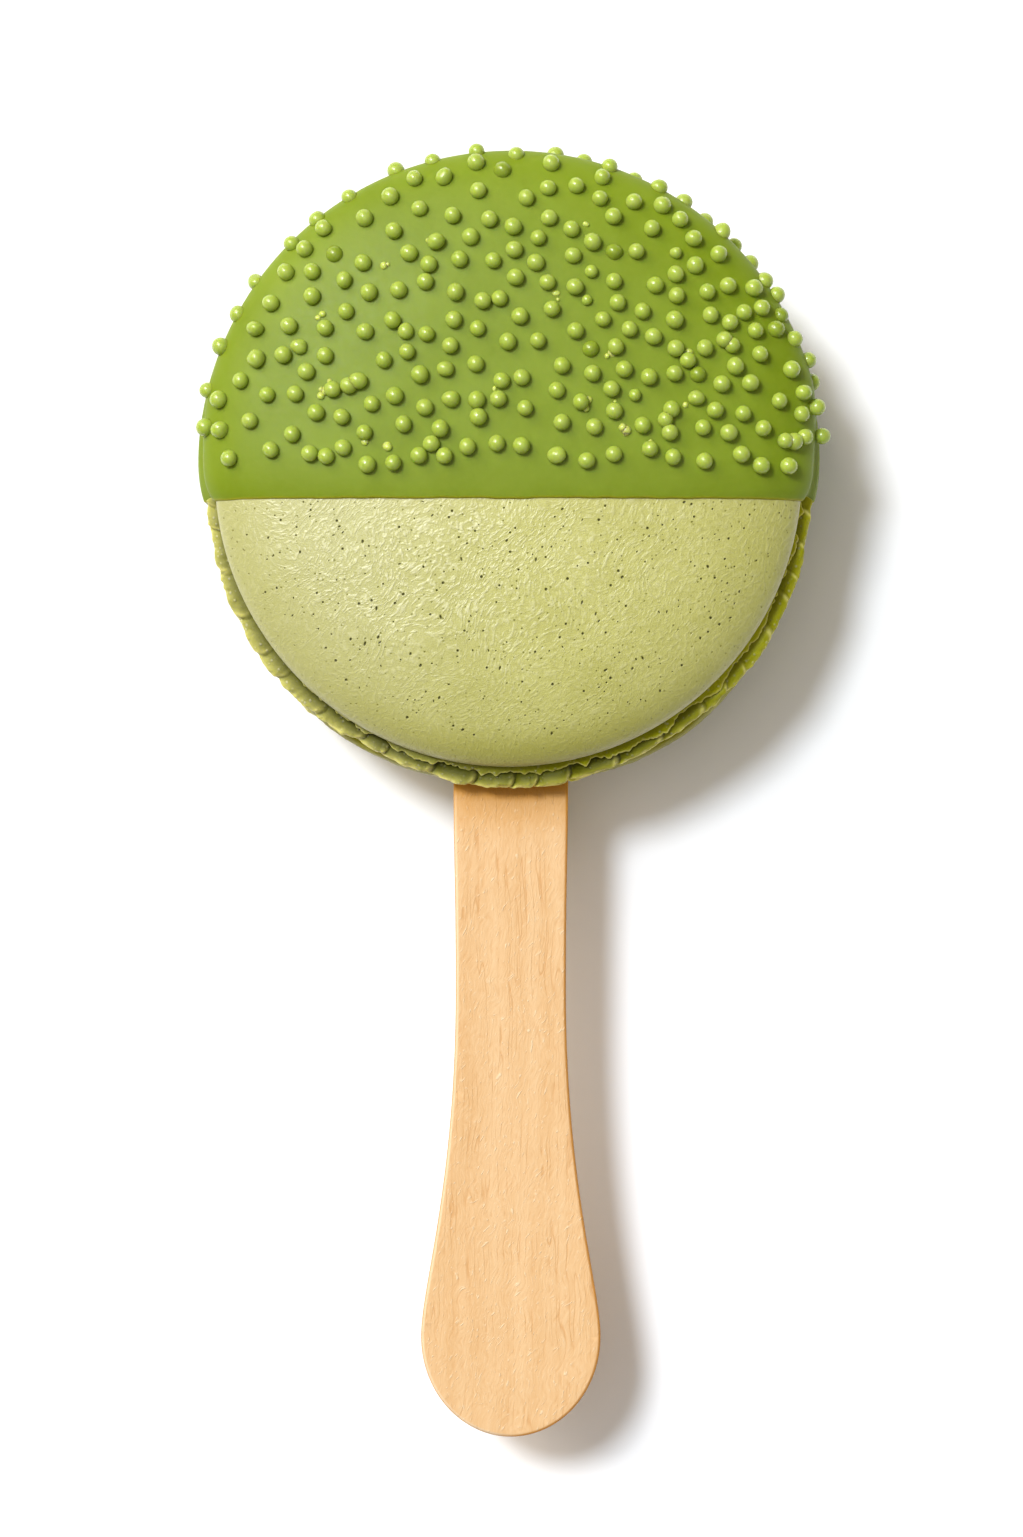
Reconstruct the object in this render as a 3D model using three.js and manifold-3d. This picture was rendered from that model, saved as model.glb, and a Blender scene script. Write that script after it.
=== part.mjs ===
/*
 * A french macaron on a flat wooden stick, lying on its back.
 *
 * Two green almond shells with ruffled feet hold a filling between them. The stick is
 * pushed into the filling, and a coating covers the half of the macaron that is away
 * from the stick, front, side and back.
 *
 * Millimetres, +Z up. The origin is on the surface that the macaron lies on, under the
 * centre of its feet. The stick runs along -Y.
 */
import * as THREE from "three";
import { mergeVertices } from "three/addons/utils/BufferGeometryUtils.js";
import Module from "manifold-3d";

// ---- levels above the surface
const COATING_ON_FACE = 0.8;
const PEARL_LAYER = 0.6; // half of the height of the pearls that are pressed into the front
const SHELL_HEIGHT = 9.0;
const FILLING_THICKNESS = 3.8;
const LOWER_SHELL_BOTTOM = COATING_ON_FACE;
const FILLING_BOTTOM = LOWER_SHELL_BOTTOM + SHELL_HEIGHT;
const FILLING_TOP = FILLING_BOTTOM + FILLING_THICKNESS;
const UPPER_SHELL_TOP = FILLING_TOP + SHELL_HEIGHT;
const COATING_TOP = UPPER_SHELL_TOP + COATING_ON_FACE + PEARL_LAYER;
const MIDDLE_LEVEL = (FILLING_BOTTOM + FILLING_TOP) / 2;

// ---- a shell: the ruffled foot, and the smooth dome above it
const FOOT_RADIUS = 29.2;
const FOOT_HEIGHT = 2.6;
const LOBES = 52;
const LOBE_DEPTH = 0.7;
const CREVICE_DEPTH = 1.0;
const SKIN_BAND_DEPTH = 0.7;
const SKIN_JAG = 0.2;
const DOME_RADIUS = 28.3;
const RECESS_LEVEL = 2.9;
const RECESS_DEPTH = 0.8;
const DOME_RIM_LEVEL = 3.6;
const DOME_HEIGHT = SHELL_HEIGHT - DOME_RIM_LEVEL;
const DOME_ACROSS_POWER = 2.5;
const DOME_UP_POWER = 1.9;
const UPPER_DOME_SHIFT = new THREE.Vector2(-0.25, 1.13);
const LOWER_DOME_SHIFT = new THREE.Vector2(-0.2, 0.3);

// ---- the filling
const FILLING_RADIUS = 29.2;
const FILLING_WAVE = 0.15;
const FILLING_EDGE_DEPTH = 0.5;

// ---- the coating
const COATING_RADIUS = 30.08;
const COATING_CENTRE = new THREE.Vector2(0.05, 2.1);
const COATING_WAIST_DEPTH = 0.2; // over the filling
const COATING_GROOVE_DEPTH = 0.15; // over the recess under a dome
const DIP_LINE_Y = -1.6;
const REST_SPOT_RADIUS = 16;

// ---- the stick: a narrow neck that widens to a rounded paddle
const STICK_THICKNESS = 2.2;
const STICK_EDGE_RADIUS = 0.35;
const STICK_TIP_Y = 20.6;
const STICK_TIP_LENGTH = 5.0;
const STICK_HALF_WIDTH = 5.6;
const STICK_NECK_START_Y = -25;
const STICK_NECK_HALF_WIDTH = 5.37;
const STICK_NECK_Y = -49;
const STICK_PADDLE_HALF_WIDTH = 8.74;
const STICK_PADDLE_Y = -82.65;
const STICK_END_Y = -92.4;
const STICK_NECK_HANDLE = 19;
const STICK_PADDLE_HANDLE = 4.9;

const GAP = 0.3; // between a cut piece and the neighbour that it is cut by
const FOOT_SAMPLES = 3 * LOBES;
const DOME_SAMPLES = FOOT_SAMPLES / 2;
const FILLING_SAMPLES = 84;
const COATING_SAMPLES = 72;
const AXIS = new THREE.Vector2(0, 0);
const LOWER_RIM = FILLING_BOTTOM - DOME_RIM_LEVEL;
const UPPER_RIM = FILLING_TOP + DOME_RIM_LEVEL;
const DOME_SHARES = [1, 0.965, 0.87, 0.68, 0.4]; // of its radius, from a dome's rim inwards

// ---------------------------------------------------------------- closed solids from rings

/** A horizontal ring of points whose distance from its centre is radiusAt(angle). */
function ring(count, level, centre, radiusAt) {
  return Array.from({ length: count }, (_, i) => {
    const angle = (2 * Math.PI * i) / count;
    const radius = radiusAt(angle);
    return [centre.x + radius * Math.cos(angle), centre.y + radius * Math.sin(angle), level];
  });
}

/** The triangles between two rings. The upper one has as many points as the lower, or half. */
function band(lower, upper, triangles) {
  const halved = upper.count < lower.count;
  for (let i = 0; i < upper.count; i++) {
    const above = upper.start + i;
    const aboveNext = upper.start + ((i + 1) % upper.count);
    if (halved) {
      const below = lower.start + 2 * i;
      const belowNext = lower.start + ((2 * i + 2) % lower.count);
      triangles.push(below, below + 1, above);
      triangles.push(below + 1, belowNext, aboveNext);
      triangles.push(below + 1, aboveNext, above);
    } else {
      const below = lower.start + i;
      const belowNext = lower.start + ((i + 1) % lower.count);
      triangles.push(below, belowNext, aboveNext);
      triangles.push(below, aboveNext, above);
    }
  }
}

/** A closed solid through rings from the lowest to the highest, closed by a fan at each end. */
function solidFromRings(rings, lowPoint, highPoint) {
  const points = [lowPoint];
  const triangles = [];
  const placed = rings.map((one) => {
    const start = points.length;
    points.push(...one);
    return { start, count: one.length };
  });
  const top = points.push(highPoint) - 1;
  const first = placed[0];
  for (let i = 0; i < first.count; i++) {
    triangles.push(0, first.start + ((i + 1) % first.count), first.start + i);
  }
  for (let k = 1; k < placed.length; k++) {
    band(placed[k - 1], placed[k], triangles);
  }
  const last = placed[placed.length - 1];
  for (let i = 0; i < last.count; i++) {
    triangles.push(top, last.start + i, last.start + ((i + 1) % last.count));
  }
  const geometry = new THREE.BufferGeometry();
  geometry.setAttribute("position", new THREE.Float32BufferAttribute(points.flat(), 3));
  geometry.setIndex(triangles);
  return geometry;
}

// ---------------------------------------------------------------- outlines of the macaron

/** How far up a dome of the given height its surface is, at a share of its radius. */
function domeRise(share, height) {
  return height * (1 - share ** DOME_ACROSS_POWER) ** (1 / DOME_UP_POWER);
}

/** 0 in the fold between two lobes of a foot and 1 on a lobe, with lobes of uneven width. */
function lobeAt(angle, phase) {
  const drift = 0.5 * Math.sin(3 * angle + phase) + 0.35 * Math.sin(7 * angle + 2.1 * phase);
  return Math.sqrt(Math.abs(Math.sin((LOBES * angle) / 2 + drift)));
}

/** -1 to 1 around the torn edge of the skin above a foot. */
function jagAt(angle, phase) {
  return Math.sin(31 * angle + phase) * Math.sin(17 * angle + 1.3 * phase);
}

/** One shell on its flat underside, its dome upwards and set off from its foot by domeShift. */
function shellGeometry(domeShift, phase) {
  const lobed = (out, share) => (angle) => out - share * LOBE_DEPTH * (1 - lobeAt(angle, phase));
  const jagged = (angle) => FOOT_RADIUS - SKIN_BAND_DEPTH + SKIN_JAG * jagAt(angle, phase);
  const partShift = domeShift.clone().multiplyScalar(0.5);
  const skinShift = domeShift.clone().multiplyScalar(0.2);
  const rings = [
    ring(FOOT_SAMPLES, 0, AXIS, lobed(FOOT_RADIUS - 0.8, 0.6)),
    ring(FOOT_SAMPLES, 0.2 * FOOT_HEIGHT, AXIS, lobed(FOOT_RADIUS - 0.1, 1)),
    ring(FOOT_SAMPLES, 0.5 * FOOT_HEIGHT, AXIS, lobed(FOOT_RADIUS, 1)),
    ring(FOOT_SAMPLES, 0.75 * FOOT_HEIGHT, AXIS, lobed(FOOT_RADIUS - CREVICE_DEPTH, 0.4)),
    ring(FOOT_SAMPLES, 0.9 * FOOT_HEIGHT, skinShift, jagged),
    ring(FOOT_SAMPLES, RECESS_LEVEL, partShift, () => DOME_RADIUS - RECESS_DEPTH),
  ];
  for (const share of DOME_SHARES) {
    const level = DOME_RIM_LEVEL + domeRise(share, DOME_HEIGHT);
    rings.push(ring(DOME_SAMPLES, level, domeShift, () => share * DOME_RADIUS));
  }
  return solidFromRings(rings, [0, 0, 0], [domeShift.x, domeShift.y, SHELL_HEIGHT]);
}

/** The filling as a plain disc with a soft, slightly wavy edge, before the stick goes in. */
function fillingDiscGeometry() {
  const edge = (depth) => (angle) => {
    const wave = Math.sin(5 * angle + 0.7) + 0.6 * Math.sin(13 * angle + 2) + 0.4 * Math.sin(29 * angle);
    return FILLING_RADIUS - depth - FILLING_WAVE * (1 - 0.5 * wave);
  };
  const rings = [
    ring(FILLING_SAMPLES, FILLING_BOTTOM, AXIS, edge(FILLING_EDGE_DEPTH)),
    ring(FILLING_SAMPLES, FILLING_BOTTOM + 0.25 * FILLING_THICKNESS, AXIS, edge(0.1)),
    ring(FILLING_SAMPLES, FILLING_BOTTOM + 0.75 * FILLING_THICKNESS, AXIS, edge(0)),
    ring(FILLING_SAMPLES, FILLING_TOP, AXIS, edge(FILLING_EDGE_DEPTH)),
  ];
  return solidFromRings(rings, [0, 0, FILLING_BOTTOM], [0, 0, FILLING_TOP]);
}

/** The whole macaron with a clear gap around it: the hollow that the coating is wrapped round. */
function coatedCoreGeometry() {
  const domeRing = (shift, level, share) =>
    ring(COATING_SAMPLES, level, shift, () => share * (DOME_RADIUS + GAP));
  const footRing = (level) => ring(COATING_SAMPLES, level, AXIS, () => FOOT_RADIUS + GAP);
  const lowerDome = DOME_SHARES.map((share) =>
    domeRing(LOWER_DOME_SHIFT, LOWER_RIM - domeRise(share, DOME_HEIGHT + GAP), share));
  const upperDome = DOME_SHARES.map((share) =>
    domeRing(UPPER_DOME_SHIFT, UPPER_RIM + domeRise(share, DOME_HEIGHT + GAP), share));
  const rings = [
    ...lowerDome.reverse(),
    footRing(FILLING_BOTTOM - 0.8 * FOOT_HEIGHT),
    footRing(FILLING_TOP + 0.8 * FOOT_HEIGHT),
    ...upperDome,
  ];
  const low = [LOWER_DOME_SHIFT.x, LOWER_DOME_SHIFT.y, LOWER_SHELL_BOTTOM - GAP];
  const high = [UPPER_DOME_SHIFT.x, UPPER_DOME_SHIFT.y, UPPER_SHELL_TOP + GAP];
  return solidFromRings(rings, low, high);
}

/** The outside of the coating, all the way round, flat where it set on the surface below. */
function coatingOutsideGeometry() {
  const at = (level, radius) => ring(COATING_SAMPLES, level, COATING_CENTRE, () => radius);
  const upperHeight = COATING_TOP - UPPER_RIM;
  const lowerShares = [0.72, 0.86, 0.95, 1];
  const upperShares = [1, 0.985, 0.93, 0.82, 0.62, 0.35];
  const rings = [
    at(0, REST_SPOT_RADIUS),
    ...lowerShares.map((share) => at(LOWER_RIM - domeRise(share, LOWER_RIM), share * COATING_RADIUS)),
    at(FILLING_BOTTOM - RECESS_LEVEL, COATING_RADIUS - COATING_GROOVE_DEPTH),
    at(FILLING_BOTTOM - 0.5 * FOOT_HEIGHT, COATING_RADIUS),
    at(MIDDLE_LEVEL, COATING_RADIUS - COATING_WAIST_DEPTH),
    at(FILLING_TOP + 0.5 * FOOT_HEIGHT, COATING_RADIUS),
    at(FILLING_TOP + RECESS_LEVEL, COATING_RADIUS - COATING_GROOVE_DEPTH),
    ...upperShares.map((share) => at(UPPER_RIM + domeRise(share, upperHeight), share * COATING_RADIUS)),
  ];
  const centre = [COATING_CENTRE.x, COATING_CENTRE.y];
  return solidFromRings(rings, [...centre, 0], [...centre, COATING_TOP]);
}

/** The stick's outline, seen from above, wider by grow all round. */
function stickOutline(grow) {
  const half = STICK_HALF_WIDTH + grow;
  const neck = STICK_NECK_HALF_WIDTH + grow;
  const paddle = STICK_PADDLE_HALF_WIDTH + grow;
  const tipStart = STICK_TIP_Y - STICK_TIP_LENGTH;
  const endLength = STICK_PADDLE_Y - STICK_END_Y + grow;
  const neckIn = STICK_NECK_Y + (STICK_NECK_START_Y - STICK_NECK_Y) / 2;
  const shape = new THREE.Shape();
  shape.moveTo(half, tipStart);
  shape.absellipse(0, tipStart, half, STICK_TIP_LENGTH + grow, 0, Math.PI, false, 0);
  shape.lineTo(-half, STICK_NECK_START_Y);
  shape.bezierCurveTo(-half, neckIn, -neck, neckIn, -neck, STICK_NECK_Y);
  shape.bezierCurveTo(
    -neck, STICK_NECK_Y - STICK_NECK_HANDLE,
    -paddle, STICK_PADDLE_Y + STICK_PADDLE_HANDLE,
    -paddle, STICK_PADDLE_Y,
  );
  shape.absellipse(0, STICK_PADDLE_Y, paddle, endLength, Math.PI, 2 * Math.PI, false, 0);
  shape.bezierCurveTo(
    paddle, STICK_PADDLE_Y + STICK_PADDLE_HANDLE,
    neck, STICK_NECK_Y - STICK_NECK_HANDLE,
    neck, STICK_NECK_Y,
  );
  shape.bezierCurveTo(neck, neckIn, half, neckIn, half, STICK_NECK_START_Y);
  shape.closePath();
  return shape;
}

/** The stick about its middle level, with its edges rounded, or a plain blank for its pocket. */
function stickGeometry(grow, edgeRadius) {
  const depth = STICK_THICKNESS + 2 * grow - 2 * edgeRadius;
  const geometry = new THREE.ExtrudeGeometry(stickOutline(grow), {
    depth,
    curveSegments: 9,
    bevelEnabled: edgeRadius > 0,
    bevelThickness: edgeRadius,
    bevelSize: edgeRadius,
    bevelOffset: -edgeRadius,
    bevelSegments: 2,
  });
  geometry.translate(0, 0, -depth / 2);
  return geometry;
}

// ---------------------------------------------------------------- cutting

const wasm = await Module();
wasm.setup();

/** A geometry as a solid that can be cut. */
function toSolid(geometry) {
  const bare = geometry.clone();
  bare.deleteAttribute("normal");
  bare.deleteAttribute("uv");
  const merged = mergeVertices(bare, 1e-4);
  return new wasm.Manifold(
    new wasm.Mesh({
      numProp: 3,
      vertProperties: new Float32Array(merged.getAttribute("position").array),
      triVerts: new Uint32Array(merged.getIndex().array),
    }),
  );
}

/** A cut solid as a geometry again. */
function toGeometry(solid) {
  const mesh = solid.getMesh();
  const geometry = new THREE.BufferGeometry();
  geometry.setAttribute("position", new THREE.BufferAttribute(mesh.vertProperties, 3));
  geometry.setIndex(new THREE.BufferAttribute(mesh.triVerts, 1));
  return geometry;
}

/** A box that holds everything on the stick's side of the dip line. */
function undippedSide() {
  const size = 200;
  const box = new THREE.BoxGeometry(size, size, size);
  box.translate(0, DIP_LINE_Y - size / 2, 0);
  return box;
}

// ---------------------------------------------------------------- the pieces

const macaron = new THREE.Group();

/** Adds one named piece with its own material. */
function addPiece(name, geometry, colour, roughness) {
  const material = new THREE.MeshStandardMaterial({ color: colour, roughness, metalness: 0 });
  geometry.computeVertexNormals();
  const mesh = new THREE.Mesh(geometry, material);
  mesh.name = name;
  macaron.add(mesh);
  return mesh;
}

const SHELL_COLOUR = 0xb7bd72;
const FILLING_COLOUR = 0x98a03c;
const COATING_COLOUR = 0x6f9630;
const WOOD_COLOUR = 0xf5cd97;

const upperShell = addPiece("upper_shell", shellGeometry(UPPER_DOME_SHIFT, 0.4), SHELL_COLOUR, 0.6);
upperShell.position.z = FILLING_TOP;

const turnedShift = new THREE.Vector2(-LOWER_DOME_SHIFT.x, LOWER_DOME_SHIFT.y);
const lowerShell = addPiece("lower_shell", shellGeometry(turnedShift, 2.9), SHELL_COLOUR, 0.6);
lowerShell.rotation.y = Math.PI;
lowerShell.position.z = FILLING_BOTTOM;

const pocket = stickGeometry(GAP, 0);
pocket.translate(0, 0, MIDDLE_LEVEL);
const filling = toSolid(fillingDiscGeometry()).subtract(toSolid(pocket));
addPiece("filling", toGeometry(filling), FILLING_COLOUR, 0.5);

const coating = toSolid(coatingOutsideGeometry())
  .subtract(toSolid(coatedCoreGeometry()))
  .subtract(toSolid(undippedSide()));
addPiece("coating", toGeometry(coating), COATING_COLOUR, 0.35);

const stick = addPiece("stick", stickGeometry(0, STICK_EDGE_RADIUS), WOOD_COLOUR, 0.7);
stick.position.z = MIDDLE_LEVEL;

export default macaron;
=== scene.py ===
"""A french macaron on a flat wooden stick, half dipped in a green coating with small pearls.

It lies on its back with the coated end away from the viewer, on a pale floor, and the camera
looks straight down on it. Lengths in this script are millimetres, in the frame's own axes, and
become metres where a mesh, light or camera is made.
"""

import itertools
import math

import bpy
import numpy as np
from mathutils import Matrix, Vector
from mathutils.geometry import delaunay_2d_cdt


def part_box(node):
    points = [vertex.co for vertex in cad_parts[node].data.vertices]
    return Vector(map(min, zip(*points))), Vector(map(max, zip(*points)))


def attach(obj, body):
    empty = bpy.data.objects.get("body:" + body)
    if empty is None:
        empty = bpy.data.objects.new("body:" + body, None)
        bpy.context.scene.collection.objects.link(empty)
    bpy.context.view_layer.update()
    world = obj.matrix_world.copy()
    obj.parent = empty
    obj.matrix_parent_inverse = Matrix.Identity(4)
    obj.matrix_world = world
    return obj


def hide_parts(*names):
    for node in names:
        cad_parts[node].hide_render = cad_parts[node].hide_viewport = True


MM = 0.001
TURN = 2 * math.pi

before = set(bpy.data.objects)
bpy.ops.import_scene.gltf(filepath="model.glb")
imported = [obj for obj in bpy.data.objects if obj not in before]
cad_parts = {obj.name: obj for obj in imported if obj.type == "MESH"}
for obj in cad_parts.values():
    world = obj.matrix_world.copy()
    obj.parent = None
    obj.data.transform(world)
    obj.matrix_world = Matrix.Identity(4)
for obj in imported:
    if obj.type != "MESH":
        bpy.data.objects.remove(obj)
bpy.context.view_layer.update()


def node_box(node):
    """A node's lowest and highest corners, in millimetres."""
    low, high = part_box(node)
    return np.array(low) / MM, np.array(high) / MM


# ---------- sizes

UPPER_LOW, UPPER_HIGH = node_box("upper_shell")
LOWER_LOW, LOWER_HIGH = node_box("lower_shell")
STICK_LOW, STICK_HIGH = node_box("stick")
COAT_LOW, COAT_HIGH = node_box("coating")

FILLING_TOP = UPPER_LOW[2]
FILLING_BOTTOM = LOWER_HIGH[2]
MIDDLE_LEVEL = (FILLING_TOP + FILLING_BOTTOM) / 2
SHELL_HEIGHT = UPPER_HIGH[2] - UPPER_LOW[2]

# a shell, with levels measured from its flat face on the filling
DOME_RADIUS = 28.3
DOME_RIM_LEVEL = 3.6
DOME_HEIGHT = SHELL_HEIGHT - DOME_RIM_LEVEL
ACROSS_POWER = 2.5
UP_POWER = 1.9
DOME_JOIN = 0.95  # share of the radius where the cap's mesh meets the rim's
CAP_RADIUS = DOME_JOIN * DOME_RADIUS
DOME_EDGE_ROWS = 16
UPPER_DOME_SHIFT = np.array([-0.25, 1.13])
LOWER_DOME_SHIFT = np.array([-0.2, 0.3])
RECESS_RADIUS = 27.4
RECESS_LEVEL = 3.0
SKIN_RADIUS = 28.2
SKIN_LEVEL = 2.55
RECESS_SHADE = 0.75
CREVICE_RADIUS = 27.9
CREVICE_LEVEL = 2.2
LOBE_ROOT_RADIUS = CREVICE_RADIUS - 0.4
LOBE_RADIUS = 29.15
LOBES = 49
BASE_RADIUS = 28.4
FILLING_RADIUS = 28.9

# a shell's pores: the least radius and how much may be added, the depth in radii, the least distance
# from each other, and how far the even points of the shell's mesh keep from them
PORE_RADIUS = 0.06
PORE_RADIUS_RANGE = 0.078
PORE_DEPTH = 1.2
PORE_SPACING = 0.5
PORE_CLEARING = 0.3

# the coating
DIP_Y = COAT_LOW[1]  # the dip line
COAT_RADIUS = (COAT_HIGH[0] - COAT_LOW[0]) / 2
COAT_CENTRE = np.array([(COAT_LOW[0] + COAT_HIGH[0]) / 2, COAT_HIGH[1] - COAT_RADIUS])
COAT_ON_FACE = 0.8
COAT_EDGE = 0.2
COAT_TAPER = 2.3  # how far from the dip line it nears its full thickness on the face
COAT_RIM_TAPER = 1.4  # and round the rim, where it first nears COAT_RIM_THICKNESS
COAT_RIM_THICKNESS = 1.0
COAT_PRESSED = 0.35  # how much of its back is pressed flat on the floor
COAT_JOIN = 0.9  # share of its radius where the face's mesh meets the side's

# the pearls, the shares of them that are small, under a film of coating or uneven, and the sugar specks
PEARL_RADIUS = 0.83
PEARL_SPACING_LEFT = 2.32
PEARL_SPACING_RIGHT = 1.98
PEARLS_START_Y = DIP_Y + 3.2  # the coating is bare before it
SMALL_PEARLS = 0.04
FILMED_PEARLS = 0.035
UNEVEN_PEARLS = 0.1
SUGAR_SPOTS = 20

# the stick, from the frame's box and its neck
STICK_PADDLE_HALF_WIDTH = (STICK_HIGH[0] - STICK_LOW[0]) / 2
STICK_HALF_WIDTH = 5.6
STICK_NECK_HALF_WIDTH = 5.37
STICK_NECK_START_Y = -25
STICK_NECK_Y = -49
STICK_PADDLE_Y = -82.65
STICK_NECK_HANDLE = 19
STICK_PADDLE_HANDLE = 4.9
STICK_TIP_LENGTH = 5.0
STICK_EDGE_RADIUS = 0.35

# how far the wood's grain is drawn out along the stick
GRAIN_STRETCH = 100 / 3

# the camera's place and its lens, for a picture of 1023 by 1537 pixels
PICTURE_HEIGHT_PX = 1537
FOCAL_LENGTH_PX = 5128
CAMERA_PLACE = (0.06, -27.38, 511.5)

# the lights: name, strength, apparent size, direction and height in degrees, colour
LIGHTS = (
    ("key", 2.37, 13, 137, 61, (0.91, 1.0, 1.11)),
    ("broad_low", 2.57, 40, 137, 40, (1.11, 1.0, 0.87)),
    ("overhead", 1.18, 65, 137, 87, (1.0, 0.925, 0.855)),
    ("fill", 0.3, 60, -35, 25, (1.0, 0.92, 0.8)),
)
WORLD_COLOUR = (1.0, 0.95, 0.9, 1)
WORLD_STRENGTH = 0.01


# ---------- noise and mesh tools

def hashed(cells, seed):
    """A number from -1 to 1 for each whole-numbered cell."""
    x, y, z = (cells[..., k].astype(np.int64) for k in range(3))
    h = (x * 73856093) ^ (y * 19349663) ^ (z * 83492791) ^ (seed * 2654435761)
    h = (h ^ (h >> 13)) * 1274126177 & 0x7FFFFFFF
    h = (h ^ (h >> 16)) & 0xFFFFFF
    return h / 0x7FFFFF - 1.0


def noise(points, size, seed):
    """Smooth noise from about -1 to 1, with features as long as size."""
    place = np.asarray(points, float) / size
    cell = np.floor(place)
    part = place - cell
    part = part * part * part * (part * (part * 6 - 15) + 10)
    total = np.zeros(place.shape[:-1])
    for corner in itertools.product((0, 1), repeat=3):
        weight = np.prod(np.where(corner, part, 1 - part), -1)
        total += weight * hashed(cell + corner, seed)
    return total


def ring(radius, angles, level=0.0, centre=(0, 0)):
    """Points at a radius and a level round a centre, one for each angle."""
    x = centre[0] + radius * np.cos(angles)
    y = centre[1] + radius * np.sin(angles)
    return np.stack([x, y, np.broadcast_to(level, x.shape)], -1)


def around(angles, size, seed):
    """Noise round the macaron, which meets itself at the full turn."""
    radius, level = 29.0, 0.5
    return noise(ring(radius, angles, level), size, seed)


def away(places, centre):
    """How far places are from a centre, seen from above."""
    return np.hypot(places[..., 0] - centre[0], places[..., 1] - centre[1])


def smoothstep(low, high, x):
    """0 up to low, 1 from high on, and smooth between them."""
    t = np.clip((x - low) / (high - low), 0, 1)
    return t * t * (3 - 2 * t)


def peak(x, middle, width):
    """1 at the middle, and near 0 from twice the width away from it."""
    return np.exp(-(((x - middle) / width) ** 2))


def toward(angles, degrees, width):
    """A peak at a direction, with its width in degrees too."""
    off = (angles - math.radians(degrees) + math.pi) % TURN - math.pi
    return peak(off, 0, math.radians(width))


def make_piece(name, points, faces, materials, body="root", replaces=(), slot=None, second=None, **marks):
    """A mesh piece from points in millimetres. A mark has a number for every point, for its material.

    Second says, for every face, whether it has the second material."""
    mesh = bpy.data.meshes.new(name)
    mesh.from_pydata((np.asarray(points) * MM).tolist(), [], faces)
    mesh.shade_smooth()
    for mark, values in marks.items():
        layer = mesh.attributes.new(mark, "FLOAT", "POINT")
        layer.data.foreach_set("value", np.asarray(values, np.float32))
    mesh.update()
    piece = bpy.data.objects.new(name, mesh)
    bpy.context.scene.collection.objects.link(piece)
    for material in materials:
        mesh.materials.append(material)
    if second is not None:
        mesh.polygons.foreach_set("material_index", np.asarray(second, np.int32))
    if body:
        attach(piece, body)
    if replaces:
        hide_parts(*replaces)
    return piece


def strip_faces(rows, columns, closed):
    """Quads between rows of points that run from the top down, facing out."""
    j, i = np.meshgrid(np.arange(rows - 1), np.arange(columns if closed else columns - 1), indexing="ij")
    here = j * columns + i
    beside = j * columns + (i + 1) % columns
    return np.stack([here + columns, beside + columns, beside, here], -1).reshape(-1, 4)


def fan(centre, row):
    """Triangles from a point to the neighbours in a closed row, anticlockwise as it is seen."""
    return [(centre, int(here), int(ahead)) for here, ahead in zip(row, np.roll(row, -1))]


def closed_form(rows, top, bottom):
    """Points and faces of closed rows that run from the top down, with a point at each end."""
    rows = np.array(rows)
    index = np.arange(rows[..., 0].size).reshape(rows.shape[:2])
    points = np.vstack([rows.reshape(-1, 3), [top, bottom]])
    faces = strip_faces(*index.shape, True).tolist()
    return points, faces + fan(index.size, index[0]) + fan(index.size + 1, index[-1][::-1])


def triangulate(points):
    """Triangles over a flat set of points, out to its convex outline, anticlockwise."""
    result = delaunay_2d_cdt([Vector(p) for p in points], [], [], 0, 1e-9)
    source = [found[0] for found in result[3]]
    return np.array([[source[k] for k in face] for face in result[2]])


def hexagonal(pitch, reach, rng):
    """Points of a hexagonal grid over a square about the origin, each moved a little."""
    jitter = 0.2
    rows = np.arange(-reach, reach, pitch * math.sqrt(0.75))
    columns = np.arange(-reach, reach, pitch)
    x, y = np.meshgrid(columns, rows)
    x = x + np.where(np.arange(len(rows)) % 2, pitch / 2, 0)[:, None]
    points = np.stack([x.ravel(), y.ravel()], -1)
    return points + rng.uniform(-jitter, jitter, points.shape) * pitch


# ---------- materials

def srgb(red, green, blue):
    """A linear colour from 0-255 screen values."""
    linear = [((c / 255 + 0.055) / 1.055) ** 2.4 if c > 10 else c / 255 / 12.92 for c in (red, green, blue)]
    return (*linear, 1.0)


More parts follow.
